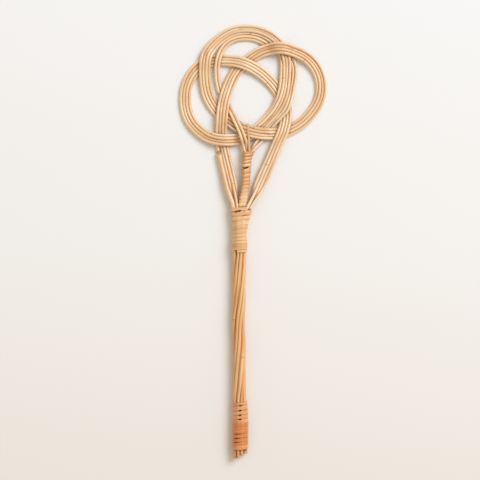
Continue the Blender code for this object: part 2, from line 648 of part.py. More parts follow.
def main():
    clear_scene()
    pieces = []
    bands = main_band(), loop_band()
    settle_heights(bands, crossings(*bands))
    canes = push_apart(whole_canes(bands))
    cutter = table_cutter()
    inner = [cane for cane in canes if cane[0].startswith("inner")]
    windings = (
        ("end_binding", STRIP_THICKNESS, canes, END_LOW, END_HIGH, END_TURNS, LOOP_POINTS),
        ("neck_binding", STRIP_THICKNESS, canes, NECK_LOW, NECK_HIGH, NECK_TURNS, LOOP_POINTS),
        ("stem_collar", STEM_STRIP_THICKNESS, inner, COLLAR_LOW, STEM_TOP, COLLAR_TURNS,
         STEM_LOOP_POINTS),
        ("stem_binding", STEM_STRIP_THICKNESS, inner, STEM_LOW, STEM_HIGH, STEM_TURNS,
         STEM_LOOP_POINTS, STEM_SHORT_SHARE),
    )
    for name, thickness, *form in windings:
        spots, normals, width = winding(*form)
        item, *edges = strip_object(name, (0, 1, 0), spots, normals, width, thickness)
        turns, loop_points = form[3:5]
        gap = edge_gap(*edges, loop_points)
        print(f"{name}: {turns} turns of {width * 1000:.2f} mm strip, {gap * 1000:.2f} mm apart")
        finish(item, STRIP_COLOUR, STRIP_ROUGHNESS)
        if name in ("end_binding", "neck_binding"):
            cut = item.modifiers.new("flat", "BOOLEAN")
            cut.object = cutter
        pieces.append(item)
    tie, *_ = strip_object("knot_tie", (1, 0, 0), *tie_path(canes), TIE_WIDTH, TIE_THICKNESS)
    finish(tie, STRIP_COLOUR, STRIP_ROUGHNESS)
    pieces.append(tie)
    for name, points, radius in split_at_splice(canes[0]) + canes[1:]:
        item = cane_object(name, points, radius)
        finish(item, CANE_COLOUR, CANE_ROUGHNESS)
        pieces.append(item)
    centre_part(pieces)


main()
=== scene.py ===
# %% [markdown]
# A rattan carpet beater. Six long canes are bent into a flat open knot, and their ends run down
# together as the handle. Strips of split cane bind the stem, the neck and the end of the handle.
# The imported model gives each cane's and each binding's place. The faceted canes could be kept and
# painted, but a cane is round, grown and a little uneven, so each one is swept again here along
# nearly the same line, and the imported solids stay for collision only.

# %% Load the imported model
import math

import bmesh
import bpy
import numpy as np
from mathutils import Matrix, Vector, kdtree


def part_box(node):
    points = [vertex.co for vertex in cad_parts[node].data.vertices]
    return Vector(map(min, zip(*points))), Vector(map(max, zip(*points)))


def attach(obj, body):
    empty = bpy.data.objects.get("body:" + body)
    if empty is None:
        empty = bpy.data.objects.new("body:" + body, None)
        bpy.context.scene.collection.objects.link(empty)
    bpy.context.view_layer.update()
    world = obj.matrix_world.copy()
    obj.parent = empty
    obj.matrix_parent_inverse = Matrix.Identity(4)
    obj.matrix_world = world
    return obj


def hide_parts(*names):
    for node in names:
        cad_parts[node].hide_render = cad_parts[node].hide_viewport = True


MM = 0.001

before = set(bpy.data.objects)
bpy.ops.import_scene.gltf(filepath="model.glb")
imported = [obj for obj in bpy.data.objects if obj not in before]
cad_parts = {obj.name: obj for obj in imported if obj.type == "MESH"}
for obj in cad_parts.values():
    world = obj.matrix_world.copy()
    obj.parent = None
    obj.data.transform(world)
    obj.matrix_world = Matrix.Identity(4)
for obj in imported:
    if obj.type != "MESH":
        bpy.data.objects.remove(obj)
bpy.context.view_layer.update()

# %% [markdown]
# The camera looks straight down, as the photographer did. The frame is square, and its middle
# and its width in real units follow from the beater's length in the picture. A long lens from
# well above keeps the canes at the edge of the knot from leaning outward.

# %% Camera
FRAME_WIDTH = 0.7190
CAMERA_HEIGHT = 2.4
CAMERA_MIDDLE = (-0.0198, 0.0012)


def place_camera():
    camera = bpy.data.cameras.new("camera")
    camera.lens = camera.sensor_width * CAMERA_HEIGHT / FRAME_WIDTH
    item = bpy.data.objects.new("camera", camera)
    item.location = (*CAMERA_MIDDLE, CAMERA_HEIGHT)
    bpy.context.scene.collection.objects.link(item)
    bpy.context.scene.camera = item
    print(f"a {camera.lens:.0f} mm lens, {CAMERA_HEIGHT} m up")


place_camera()

# %% [markdown]
# Every packed cane is a tube of rings, one ring every few millimetres. Its middle line is found
# by walking from a cut end, whose faces are the ones with short edges only. The points of one ring
# have the next ring's points as neighbours, so each step of the walk gives one ring. A curve
# through the rings' middles is the cane's own line.

# %% Middle lines of the canes
CAP_EDGE = 0.006
WELD = 0.00001
ROUTE_STEP = 0.0025
SPAN_POINTS = 24


def ring_layers(node):
    """The rings of a packed cane, as lists of points, from its lowest cut end to the other."""
    mesh = bmesh.new()
    mesh.from_mesh(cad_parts[node].data)
    bmesh.ops.remove_doubles(mesh, verts=mesh.verts, dist=WELD)
    caps = [f for f in mesh.faces if max(e.calc_length() for e in f.edges) < CAP_EDGE]
    layer = {caps[0].verts[0]}
    grown = True
    while grown:
        grown = {v for f in caps if layer & set(f.verts) for v in f.verts} - layer
        layer |= grown
    seen = set()
    layers = []
    while layer:
        layers.append([tuple(v.co) for v in layer])
        seen |= layer
        layer = {e.other_vert(v) for v in layer for e in v.link_edges} - seen
    mesh.free()
    return layers


def smooth_route(points, step):
    """Rows every step along a centripetal Catmull-Rom curve, spaced by their first three columns."""
    points = np.vstack([2 * points[0] - points[1], points, 2 * points[-1] - points[-2]])
    out = []
    for p0, p1, p2, p3 in zip(points, points[1:], points[2:], points[3:]):
        t1 = np.linalg.norm((p1 - p0)[:3]) ** 0.5
        t2 = t1 + np.linalg.norm((p2 - p1)[:3]) ** 0.5
        t3 = t2 + np.linalg.norm((p3 - p2)[:3]) ** 0.5
        t = np.linspace(t1, t2, SPAN_POINTS, endpoint=False)[:, None]
        a1 = p0 + (p1 - p0) * t / t1
        a2 = p1 + (p2 - p1) * (t - t1) / (t2 - t1)
        a3 = p2 + (p3 - p2) * (t - t2) / (t3 - t2)
        b1 = a1 + (a2 - a1) * t / t2
        b2 = a2 + (a3 - a2) * (t - t1) / (t3 - t1)
        out.append(b1 + (b2 - b1) * (t - t1) / (t2 - t1))
    curve = np.vstack(out + [points[-2][None]])
    steps = np.linalg.norm(np.diff(curve[:, :3], axis=0), axis=1)
    along = np.concatenate([[0], np.cumsum(steps)])
    stops = np.linspace(0, along[-1], round(along[-1] / step) + 1)
    return np.stack([np.interp(stops, along, column) for column in curve.T], 1)


def ring_row(ring):
    """A ring's middle and its radius."""
    ring = np.array(ring)
    middle = ring.mean(axis=0)
    return (*middle, np.linalg.norm(ring - middle, axis=1).mean())


CANE_NODES = sorted(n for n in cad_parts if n.split("_")[0] in ("main", "inner", "splice"))
lines = {}
for cane in CANE_NODES:
    rings = ring_layers(cane)
    rows = smooth_route(np.array([ring_row(ring) for ring in rings]), ROUTE_STEP)
    lines[cane] = rows
    size = rows[:, 3] * 2 / MM
    print(f"{cane}: {len(rings)} rings of {len(rings[0])}, {size.min():.1f} to {size.max():.1f} mm thick")

# %% [markdown]
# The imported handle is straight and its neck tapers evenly. The photographed one was bound by
# hand: half way down it bows two millimetres to the left, the butt is a little wider than the
# handle, and the neck has a waist where the strip draws the canes together. Every cane's line is
# moved sideways by one rule here, before anything is swept. So the canes keep their order, and
# the bindings, which follow the canes, move with them. At the waist the canes run into each other
# inside the binding, where nothing shows.

# %% Bow the handle and draw in the neck
BOW_PLACES = (-0.320, -0.268, -0.229, -0.163, -0.119, -0.085, -0.055, -0.015, 0.010, 0.045)
BOW = (0.0004, 0.0008, -0.0003, -0.0005, -0.0020, -0.0006, 0, 0, -0.0004, 0)
WAIST_PLACES = (-0.305, -0.285, -0.245, -0.222, -0.0185, -0.012, 0.010, 0.030, 0.043, 0.0517)
WAIST = (1.09, 1.06, 0.94, 1.0, 1.0, 1.02, 0.70, 0.82, 0.92, 1.0)


def eased(stops, places, values):
    """Values at these places, joined by slopes that start and end level."""
    values = np.array(values)
    share = np.interp(stops, places, np.arange(len(places)))
    low = np.minimum(share.astype(int), len(places) - 2)
    part = share - low
    part = part * part * (3 - 2 * part)
    return values[low] * (1 - part) + values[low + 1] * part


end_low, end_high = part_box("end_binding")
neck_low, neck_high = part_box("neck_binding")
middle_x = (end_low.x + end_high.x) / 2
for line in lines.values():
    line[:, 0] = middle_x + (line[:, 0] - middle_x) * eased(line[:, 1], WAIST_PLACES, WAIST)
    line[:, 0] += eased(line[:, 1], BOW_PLACES, BOW)
print(f"bowed by up to {-min(BOW) / MM:.1f} mm, and the neck drawn in to {min(WAIST):.0%}")

# %% [markdown]
# Sheets of points become skins of quads here, for canes and strips alike. Each point also keeps
# where it lay on the straight cane before it was bent, in metres: two places across and one
# along. Grain drawn in those coordinates follows every bend, as the fibres of a real cane do.

# %% Skin a row of rings
SHARP_EDGE = math.radians(48)


def skin(name, rings, grown, marks):
    """A closed tube through rows of points, with its grain coordinates and other marks."""
    count, sides = rings.shape[:2]
    index = np.arange(count * sides).reshape(count, sides)
    beside = np.roll(index, -1, axis=1)
    quads = np.stack([index[:-1], beside[:-1], beside[1:], index[1:]], axis=2).reshape(-1, 4)
    data = bpy.data.meshes.new(name)
    data.from_pydata(rings.reshape(-1, 3), [], quads.tolist() + [index[0].tolist(), index[-1].tolist()])
    data.attributes.new("grown", "FLOAT_VECTOR", "POINT").data.foreach_set("vector", grown.ravel())
    for mark, values in marks.items():
        data.attributes.new(mark, "FLOAT", "POINT").data.foreach_set("value", values.ravel())
    cut = np.zeros(len(data.polygons), int)
    cut[-2:] = 1
    data.polygons.foreach_set("material_index", cut)
    mesh = bmesh.new()
    mesh.from_mesh(data)
    bmesh.ops.recalc_face_normals(mesh, faces=mesh.faces)
    mesh.to_mesh(data)
    mesh.free()
    data.shade_smooth()
    data.set_sharp_from_angle(angle=SHARP_EDGE)
    item = bpy.data.objects.new(name, data)
    bpy.context.scene.collection.objects.link(item)
    return item


# %% [markdown]
# Rattan grows in lengths of about a hand to a foot between rings where the leaves stood. The
# canes are peeled, so a ring is only a faint swelling with a brown scar. The real canes also vary
# in width by a few hundredths and don't lie dead straight against each other. A sweep with a
# slowly changing radius gives that. They are swept a little thicker than the imported tubes, so
# that neighbours all but touch. Down the handle most of them press together and hide the joint,
# and a few stand apart and leave a deep groove, so each end there has its own fullness in
# millimetres at four places along it.
#
# Varnish is brushed over the finished knot, but the dark between the canes is painted shade. How
# near a point lies to the next cane is measured and kept with the mesh, and the material darkens
# it by that, as painted shade in the grooves. How near a ring lies to a cane that crosses over it
# is kept too, for a painted shadow under each crossing. Under a binding a cane is painted as dark
# as the deepest groove, as painted shade, because it shows only in the gaps between turns. The
# stubs, the cut ends past the last turn at the butt, are a little dirty, and the same dark tint
# gives that. The place in the hand is a mark of its own. The cane that ends on the left leg is
# cut on the slant, so that the thicker one which carries on from it lies flush.

# %% Sweep the canes
rng = np.random.default_rng(11)
CANE_SIDES = 20
FULLER = 0.00008
UNEVEN_SHARE = 0.02
UNEVEN_SPACING = 0.04
WANDER = 0.00010
WANDER_SPACING = 0.05
PLUMP_PLACES = (-0.235, -0.195, -0.055, -0.017)
PLUMP = {
    "main_cane_1": ((0.2, 0.05, -0.05, 0.1), (0.2, 0.05, -0.05, 0.1)),
    "main_cane_2": ((0.3, 0.3, 0.3, 0.3), (0.3, 0.05, 0.1, 0.3)),
    "main_cane_3": ((0.1, -0.15, -0.3, -0.2), (0.3, 0.3, 0.25, -0.45)),
    "main_cane_4": ((-0.3, 0.4, 0.4, 0.3), (-0.35, 0.4, 0.4, 0.3)),
    "splice_cane": ((0.3, 0.3, 0.3, -0.1), (0.3, 0.3, 0.3, -0.1)),
}
EVENLY_PLUMP = (0.3, 0.35, 0.35, 0.3)
STUB_PLUMP = 0.0003
STUB_FADE = 0.002
STUB_SHARE = 0.3
# Painted shade in the grooves between the canes: how far it reaches and how it varies.
SHADE_STEP = 0.001
SHADE_REACH = 0.00065
SHADE_MEAN = 0.6
SHADE_SWING = 0.4
SHADE_SPACING = 0.03
PARTED_REACH = 4.5
GROOVE_PLUMP = (-0.3, 0.3)
GROOVE_SHADE_DEPTH = (2.4, 0.2)
CROSSING_SHADOW_REACH = 0.0038
CROSSED_LIFT = 0.003
CROSSING_SHADOW_SHARE = 0.5
CROSSING_SHADOW_POWER = 1.5
UNDER_DEPTH = 0.002
UNDER_NECK_DEPTH = 0.0042
RING_SPACING = (0.16, 0.30)
RING_SWELL_SHARE = 0.05
RING_WIDTH = 0.0035
RING_POINTS = 9
SCAR_WIDTH = 0.0007
CUT_TILT = math.radians(9)
SCARF_TILT = math.radians(38)
RIM_SHARE = 0.86
CHAMFER_SHARE = 0.12
GROWN_APART = 5.0


def slow_noise(stops, spacing):
    """A smooth random line with one free value every spacing."""
    knots = np.arange(stops[0] - spacing, stops[-1] + 2 * spacing, spacing)
    return eased(stops, knots, rng.uniform(-1, 1, len(knots)))


def patchy(stops, spacing):
    """A share that changes slowly along a piece, so that painted shade is deeper in some places."""
    return SHADE_MEAN + SHADE_SWING * slow_noise(stops, spacing)


def carried_frames(line):
    """Two directions across a line that turn as little as they can along it."""
    along = np.gradient(line, axis=0)
    along /= np.linalg.norm(along, axis=1)[:, None]
    first = np.cross(along[0], (0, 0, 1))
    sides = [first / np.linalg.norm(first)]
    for ahead in along[1:]:
        side = sides[-1] - ahead * (sides[-1] @ ahead)
        sides.append(side / np.linalg.norm(side))
    sides = np.array(sides)
    return along, sides, np.cross(along, sides)


def growth_rings(length):
    """Places along a cane where leaves once stood."""
    places = []
    place = rng.uniform(0, RING_SPACING[0])
    while place < length:
        places.append(place)
        place += rng.uniform(*RING_SPACING)
    return np.array(places)


def other_canes(node):
    """A search tree of fine points along the other canes, and the radius at each."""
    fine = [smooth_route(lines[name], SHADE_STEP) for name in CANE_NODES if name != node]
    rows = np.vstack(fine)
    tree = kdtree.KDTree(len(rows))
    for k, row in enumerate(rows):
        tree.insert(Vector(row[:3]), k)
    tree.balance()
    return tree, rows[:, 3]


def groove_shade(node, rings, reach):
    """Painted shade in the grooves: 1 where a point lies against another cane, 0 from its reach away."""
    tree, radii = other_canes(node)
    shade_and_dirt = []
    for ring, limit in zip(rings, reach):
        for point in ring:
            _, k, away = tree.find(Vector(point))
            shade_and_dirt.append(1 - (away - radii[k]) / limit)
    return np.clip(shade_and_dirt, 0, 1).reshape(rings.shape[:-1])


def shadow_under_crossings(node, middles):
    """Painted shadow under crossings: 1 under a cane that crosses over a ring, 0 from the reach away."""
    tree, radii = other_canes(node)
    shares = []
    for x, y, z in middles:
        gaps = [CROSSING_SHADOW_REACH]
        for near, k, _ in tree.find_range((x, y, z), 2 * CROSSING_SHADOW_REACH):
            if near.z > z + CROSSED_LIFT:
                gaps.append(math.hypot(near.x - x, near.y - y) - radii[k])
        shares.append(1 - min(gaps) / CROSSING_SHADOW_REACH)
    return np.clip(shares, 0, 1)


def held_share(y):
    """How far down the neck each height lies: 0 above its binding, 1 from its foot to the butt."""
    return np.clip((neck_high.y - y) / (neck_high.y - neck_low.y), 0, 1)


def fullness(node, y, first_half):
    """What each ring gains in radius, and how deep and how far the painted groove shade beside it goes.
    """
    held = held_share(y)
    ends = PLUMP.get(node, (EVENLY_PLUMP, EVENLY_PLUMP))
    ends = [np.interp(y, PLUMP_PLACES, values) for values in ends]
    plump = np.where(first_half, *ends) * MM * held
    shade_depth = 1 - held * (1 - np.interp(plump / MM, GROOVE_PLUMP, GROOVE_SHADE_DEPTH))
    reach = SHADE_REACH + PARTED_REACH * np.maximum(-plump, 0)
    plump += STUB_PLUMP * np.clip((end_low.y - y) / STUB_FADE, 0, 1)
    return plump, shade_depth, reach


def slant_ends(rings, along, up, radius, angle):
    """Tilts the last two rings of each end: a little at the butt, much where a leg's cane ends."""
    for end, inside in ((0, 1), (-1, -2)):
        tilt, toward = rng.uniform(-CUT_TILT, CUT_TILT), rng.uniform(0, math.tau)
        if rings[end, :, 1].mean() > neck_high.y:
            out = np.sign(end + 0.5) * up[end, 2]
            tilt, toward = SCARF_TILT * out, -math.pi / 2
        lean = along[end] * (np.tan(tilt) * radius[end] * np.cos(angle + toward))[:, None]
        rings[end] += lean
        rings[inside] += lean


def shade_and_dirt_mark(node, rings, held, shade_depth, reach):
    """Painted shade in the grooves, under crossings and under bindings, and the dirt on the stubs."""
    y = rings[..., 1]
    crossing_shadow = shadow_under_crossings(node, rings.mean(axis=1)) ** CROSSING_SHADOW_POWER * (1 - held[:, 0])
    stub = np.clip((end_low.y + STUB_FADE - y) / STUB_FADE / 2, 0, 1)
    shade_and_dirt = groove_shade(node, rings, reach) * shade_depth[:, None]
    # A painted shadow under each crossing.
    shade_and_dirt = np.maximum(shade_and_dirt, CROSSING_SHADOW_SHARE * crossing_shadow[:, None])
    shade_and_dirt = np.clip(shade_and_dirt, STUB_SHARE * stub, 1)
    bindings = ["end_binding", "neck_binding"]
    if node.startswith("inner"):
        bindings += ["stem_collar", "stem_binding"]
    # Painted shade: under a binding a cane shows only in the shaded gaps between turns.
    for binding in bindings:
        low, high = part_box(binding)
        covered = UNDER_NECK_DEPTH if binding == "neck_binding" else UNDER_DEPTH
        shade_and_dirt[np.minimum(y - low.y, high.y - y) > covered] = 1
    return shade_and_dirt


def sweep_cane(node, number):
    """A cane as a tube along its line, with its leaf rings, its cut ends and its marks."""
    line = lines[node]
    length = np.linalg.norm(np.diff(line[:, :3], axis=0), axis=1).sum()
    places = np.linspace(0, length, len(line))
    leaves = growth_rings(length)
    near_leaves = leaves[:, None] + np.linspace(-1, 1, RING_POINTS) * RING_WIDTH
    stops = np.union1d(places, near_leaves.clip(0, length).ravel())
    line = np.stack([np.interp(stops, places, column) for column in line.T], 1)
    plump, shade_depth, reach = fullness(node, line[:, 1], stops < length / 2)
    line, base = line[:, :3], line[:, 3] + FULLER + plump
    along, side, up = carried_frames(line)
    line = line + side * slow_noise(stops, WANDER_SPACING)[:, None] * WANDER
    away = np.abs(stops[:, None] - leaves).min(axis=1)
    radius = base * (1 + UNEVEN_SHARE * slow_noise(stops, UNEVEN_SPACING))
    radius *= 1 + RING_SWELL_SHARE * np.exp(-((away / RING_WIDTH) ** 2))
    radius = np.concatenate([[radius[0] * RIM_SHARE], radius, [radius[-1] * RIM_SHARE]])
    scar = np.exp(-((away / SCAR_WIDTH) ** 2))
    scar = np.concatenate([[0], scar, [0]])
    chamfer = base[0] * CHAMFER_SHARE
    line = np.vstack([line[0] - along[0] * chamfer, line, line[-1] + along[-1] * chamfer])
    stops = np.concatenate([[-chamfer], stops, [stops[-1] + chamfer]])
    along, side, up, shade_depth, reach = (
        np.concatenate([values[:1], values, values[-1:]]) for values in (along, side, up, shade_depth, reach)
    )
    line[:, 2] = np.maximum(line[:, 2], radius)
    angle = np.linspace(0, math.tau, CANE_SIDES, endpoint=False)
    rings = line[:, None] + radius[:, None, None] * (
        side[:, None] * np.cos(angle)[:, None] + up[:, None] * np.sin(angle)[:, None]
    )
    slant_ends(rings, along, up, radius, angle)
    grown = np.empty_like(rings)
    grown[..., 0] = radius[:, None] * np.cos(angle)
    grown[..., 1] = radius[:, None] * np.sin(angle)
    grown[..., 2] = stops[:, None] + number * GROWN_APART
    held = held_share(rings[..., 1])
    scars = scar[:, None] * (0.5 + 0.5 * np.cos(angle - number))
    shade_and_dirt = shade_and_dirt_mark(node, rings, held, patchy(stops, SHADE_SPACING) * shade_depth, reach)
    return skin(f"rattan_{node}", rings, grown, {"scar": scars, "held": held, "shade_and_dirt": shade_and_dirt})


pieces = {node: sweep_cane(node, number) for number, node in enumerate(CANE_NODES)}
print(f"{sum(len(item.data.polygons) for item in pieces.values())} faces in the canes")

# %% [markdown]
# A binding is one strip of split cane, wound round the bundle turn against turn. It lies tight,
# so at any height it follows the line that a stretched band would take round the canes there.
# A helix of one radius would float over the grooves of the bundle, so the band's line is worked
# out from the canes at every point, and the strip climbs its own width in each turn. It goes
# round the way the hands of a clock go, seen from the butt, so its turns rise to the right.

# %% Lines of the bindings
FRONT = math.radians(90)
TURN_POINTS = 72
BAND_POINTS = 181


def section(names, y):
    """Where the canes pass a height along the handle, as rows of x, z and radius."""
    rows = []
    for name in names:
        line = lines[name]
        above = line[:, 1] > y
        for k in np.nonzero(above[1:] != above[:-1])[0]:
            share = (y - line[k, 1]) / (line[k + 1, 1] - line[k, 1])
            x, _, z, radius = line[k] + (line[k + 1] - line[k]) * share
            rows.append((x, z, radius + FULLER))
    return np.array(rows)


def band_round(rows, angle):
    """Where a tight band lies at an angle round the middle, and its outward direction there."""
    turning = np.linspace(0, math.tau, BAND_POINTS)
    outward = np.stack([np.cos(turning), np.sin(turning)], 1)
    far = np.argmax(outward @ rows[:, :2].T + rows[:, 2], axis=1)
    places = rows[far, :2] + outward * rows[far, 2:]
    middle = rows[:, :2].mean(axis=0)
    seen = np.unwrap(np.arctan2(*(places - middle).T[::-1]))
    whole = np.concatenate([seen[:-1] - math.tau, seen, seen[1:] + math.tau])
    wanted = seen[0] + (angle - seen[0]) % math.tau
    found = []
    for column in (*places.T, *outward.T):
        found.append(np.interp(wanted, whole, np.concatenate([column[:-1], column, column[1:]])))
    x, z, out_x, out_z = found
    size = np.hypot(out_x, out_z)
    return x, z, out_x / size, out_z / size


def edge_heights(turns, start, height, edges):
    """Knots of turn and height for a strip whose upper edges cross the front at these heights."""
    first = (start - FRONT) % math.tau / math.tau + 0.5
    return [-0.5, *(first + k for k in range(len(edges))), turns - 0.5], [0, *edges, height]


def winding(names, low, turns, start, knots):
    """The line under a strip wound round the canes, its outward directions and its own height."""
    spots, outward, widths = [], [], []
    for step in range(int((turns - 1) * TURN_POINTS) + 1):
        turn = step / TURN_POINTS
        angle = start - turn * math.tau
        lower, y, upper = low + np.interp((turn - 0.5, turn, turn + 0.5), *knots)
        rows = np.vstack([section(names, level) for level in (lower, y, upper)])
        x, z, out_x, out_z = band_round(rows, angle)
        spots.append((x, y, z))
        outward.append((out_x, 0, out_z))
        widths.append(upper - lower)
    return np.array(spots), np.array(outward), np.array(widths)


# %% [markdown]
# Split cane is cut from the skin of the rattan: a flat back and a low round face, with soft
# edges. One section is swept for every binding, with its thickness and its lie changing a little
# from turn to turn, because no hand lays two turns quite alike. Each binding also has a list of
# the heights where its turns' edges cross the front, in millimetres above its low end, and of the
# gaps where two turns part and the canes, painted dark there as shade, show between them. A gap is
# a turn, the middle and the spread of it in degrees, and its width in millimetres. Where the width
# is below nothing, the two turns are pressed together and the line between them all but goes. The
# other numbers say how far above its solid's low end the strip starts, how high it reaches from
# there and how thick it is, in millimetres; the height of its corners and the painted shade at the
# edges of its turns, as shares; and the first and the last turn of the part that hands have
# darkened.

# %% Sweep the strips
FACE_POINTS = 9
SEAT = 0.00012
LAY_NOISE = 0.00012
WIDTH_NOISE_SHARE = 0.03
THICKNESS_NOISE_SHARE = 0.05
CROWN_SHARE = 0.14
CORNER_POWER = 9
BACK_SHARE = 0.93
BACK_LIFT_SHARE = 0.04
GAP_POWER = 4
EDGE_SHADE_POWER = 8
UNWORN = (99, 99)


def strip_section(edge):
    """The strip's outline, as shares of half its width across and of its thickness up."""
    across = np.sin(np.linspace(-math.pi / 2, math.pi / 2, FACE_POINTS))
    face = 1 - CROWN_SHARE * across**2 - (1 - edge - CROWN_SHARE) * np.abs(across) ** CORNER_POWER
    back = np.array([(BACK_SHARE, BACK_LIFT_SHARE), (0, 0), (-BACK_SHARE, BACK_LIFT_SHARE)])
    return np.vstack([np.stack([across, face], 1), back])


def open_edges(count, start, gaps):
    """How far the lower and the upper edge draw back, for gaps of (turn, degrees, spread, width)."""
    lower, upper = np.zeros(count), np.zeros(count)
    for turn, degrees, spread, width in gaps:
        middle = (turn + (start - math.radians(degrees)) % math.tau / math.tau) * TURN_POINTS
        away = (np.arange(count) - middle) * 360 / TURN_POINTS / spread
        upper += width / 2 * np.exp(-(away**GAP_POWER))
        lower += width / 2 * np.exp(-((away - 360 / spread) ** GAP_POWER))
    return lower, upper


def sweep_strip(
    name, spots, outward, width, thickness, number,
    edge=0.3, edge_shade=1, open_by=(0, 0), worn=UNWORN,
):
    """A strip of split cane that lies with its back on the line."""
    step = np.linalg.norm(np.diff(spots, axis=0), axis=1)
    stops = np.concatenate([[0], np.cumsum(step)])
    along = np.gradient(spots, axis=0)
    across = np.cross(outward, along)
    across /= np.linalg.norm(across, axis=1)[:, None]
    across *= np.sign(across[:, 1:2].sum() or 1)
    period = step.mean() * TURN_POINTS
    wide = width / 2 * (1 + WIDTH_NOISE_SHARE * slow_noise(stops, period / 2))
    thick = thickness * (1 + THICKNESS_NOISE_SHARE * slow_noise(stops, period / 3))
    slide = LAY_NOISE * slow_noise(stops, period / 2)
    uneven = patchy(stops, period / 4)
    lower, upper = open_by
    rings, grown, shade_and_dirt = [], [], []
    for u, h in strip_section(edge):
        reach = u * (wide - np.where(u > 0, upper, lower)) + slide
        rings.append(spots + across * reach[:, None] + outward * (SEAT + h * thick)[:, None])
        grown.append(np.stack([u * wide, h * thick, stops + number * GROWN_APART], 1))
        # Painted shade at the strip's edges, where one turn meets the next.
        shade_and_dirt.append(edge_shade * uneven * abs(u) ** EDGE_SHADE_POWER)
    rings, grown = np.stack(rings, 1), np.stack(grown, 1)
    rings[..., 2] = np.maximum(rings[..., 2], 0)
    turn = np.arange(len(spots)) / TURN_POINTS
    held = np.clip(np.minimum(turn - worn[0], worn[1] - turn), 0, 1)
    held = np.repeat(held[:, None], rings.shape[1], axis=1)
    return skin(name, rings, grown, {"shade_and_dirt": np.stack(shade_and_dirt, 1), "held": held})


STEM_CANES = [name for name in CANE_NODES if name.startswith("inner")]
TURN_GAP = 0.00006
FIRST_STRIP = 20
BACK_LEFT = math.radians(-112.5)
WINDINGS = {
    "end_binding": {
        "names": CANE_NODES, "turns": 12.75, "start": BACK_LEFT, "low": 0, "height": 74.5,
        "thickness": 1.6, "edge": 0.6, "edge_shade": 0.8, "worn": (0.8, 8.0),
        "edges": (8.7, 14.2, 20.2, 26.6, 32.0, 37.4, 42.7, 48.2, 54.5, 61.2, 68.3, 73.3),
        "gaps": ((10, 84, 13, 1.8), (9, 91, 14, 2.0), (8, 93, 14, 2.0), (7, 95, 15, 1.9),
                 (6, 90, 80, -0.9), (5, 90, 80, -1.0), (4, 90, 80, -0.8),
                 (3, 118, 26, 0.9), (2, 122, 22, 0.9), (1, 126, 30, 1.0), (0, 60, 50, -0.9)),
    },
    "neck_binding": {
        "names": CANE_NODES, "turns": 12.2, "start": math.radians(112), "low": 0, "height": 69.1,
        "thickness": 1.6, "edge": 0.72, "edge_shade": 0.6, "worn": UNWORN,
        "edges": (3.8, 9.2, 13.3, 17.8, 22.8, 27.9, 34.7, 40.0, 47.8, 54.3, 62.0, 67.3),
        "gaps": ((9, 121, 26, 2.9), (10, 60, 8, 1.2), (9, 58, 28, 0.8), (3, 100, 20, 0.3),
                 (7, 90, 60, -0.5), (5, 60, 60, -0.5), (1, 80, 60, -0.5)),
    },
    "stem_collar": {
        "names": STEM_CANES, "turns": 5.7, "start": BACK_LEFT, "low": 0, "height": 25.4,
        "thickness": 1.6, "edge": 0.6, "edge_shade": 0.4, "worn": (0.5, 99),
        "edges": (6.8, 12.0, 17.1, 22.2, 24.9), "gaps": (),
    },
    "stem_binding": {
        "names": STEM_CANES, "turns": 10.8, "start": BACK_LEFT, "low": -10.5, "height": 62.2,
        "thickness": 1.1, "edge": 0.7, "edge_shade": 0.35, "worn": (5, 99),
        "edges": (7.8, 13.4, 18.8, 23.8, 28.6, 34.1, 39.3, 44.8, 50.8, 58.9),
        "gaps": ((9, 110, 45, 1.0),),
    },
}
for number, (node, lay) in enumerate(WINDINGS.items()):
    turns, start = lay["turns"], lay["start"]
    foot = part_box(node)[0].y + lay["low"] * MM
    heights = np.array((lay["height"], *lay["edges"])) * MM
    knots = edge_heights(turns, start, heights[0], heights[1:])
    spots, outward, widths = winding(lay["names"], foot, turns, start, knots)
    gaps = [(turn, degrees, spread, wide * MM) for turn, degrees, spread, wide in lay["gaps"]]
    open_by = open_edges(len(spots), start, gaps)
    pieces[node] = sweep_strip(
        f"split_{node}", spots, outward, widths - TURN_GAP, lay["thickness"] * MM,
        FIRST_STRIP + number, lay["edge"], lay["edge_shade"], open_by, lay["worn"],
    )
    print(f"{node}: {turns} turns of {widths.min() / MM:.1f} to {widths.max() / MM:.1f} mm")

# %% [markdown]
# One more strand comes up from the collar, over the edge of the knot's lower band and down behind
# it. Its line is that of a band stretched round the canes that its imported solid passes, and it
# leans a little, as the photographed one does.

# %% The strand of the tie
TIE_WIDTH = 0.0037
TIE_THICKNESS = 0.0011
TIE_LEAN = 0.05
TIE_TURN = math.radians(150)
TIE_REACH = 0.005
TIE_THINNED = 6
TIE_STEP = 0.0008
TIE_NUMBER = 30


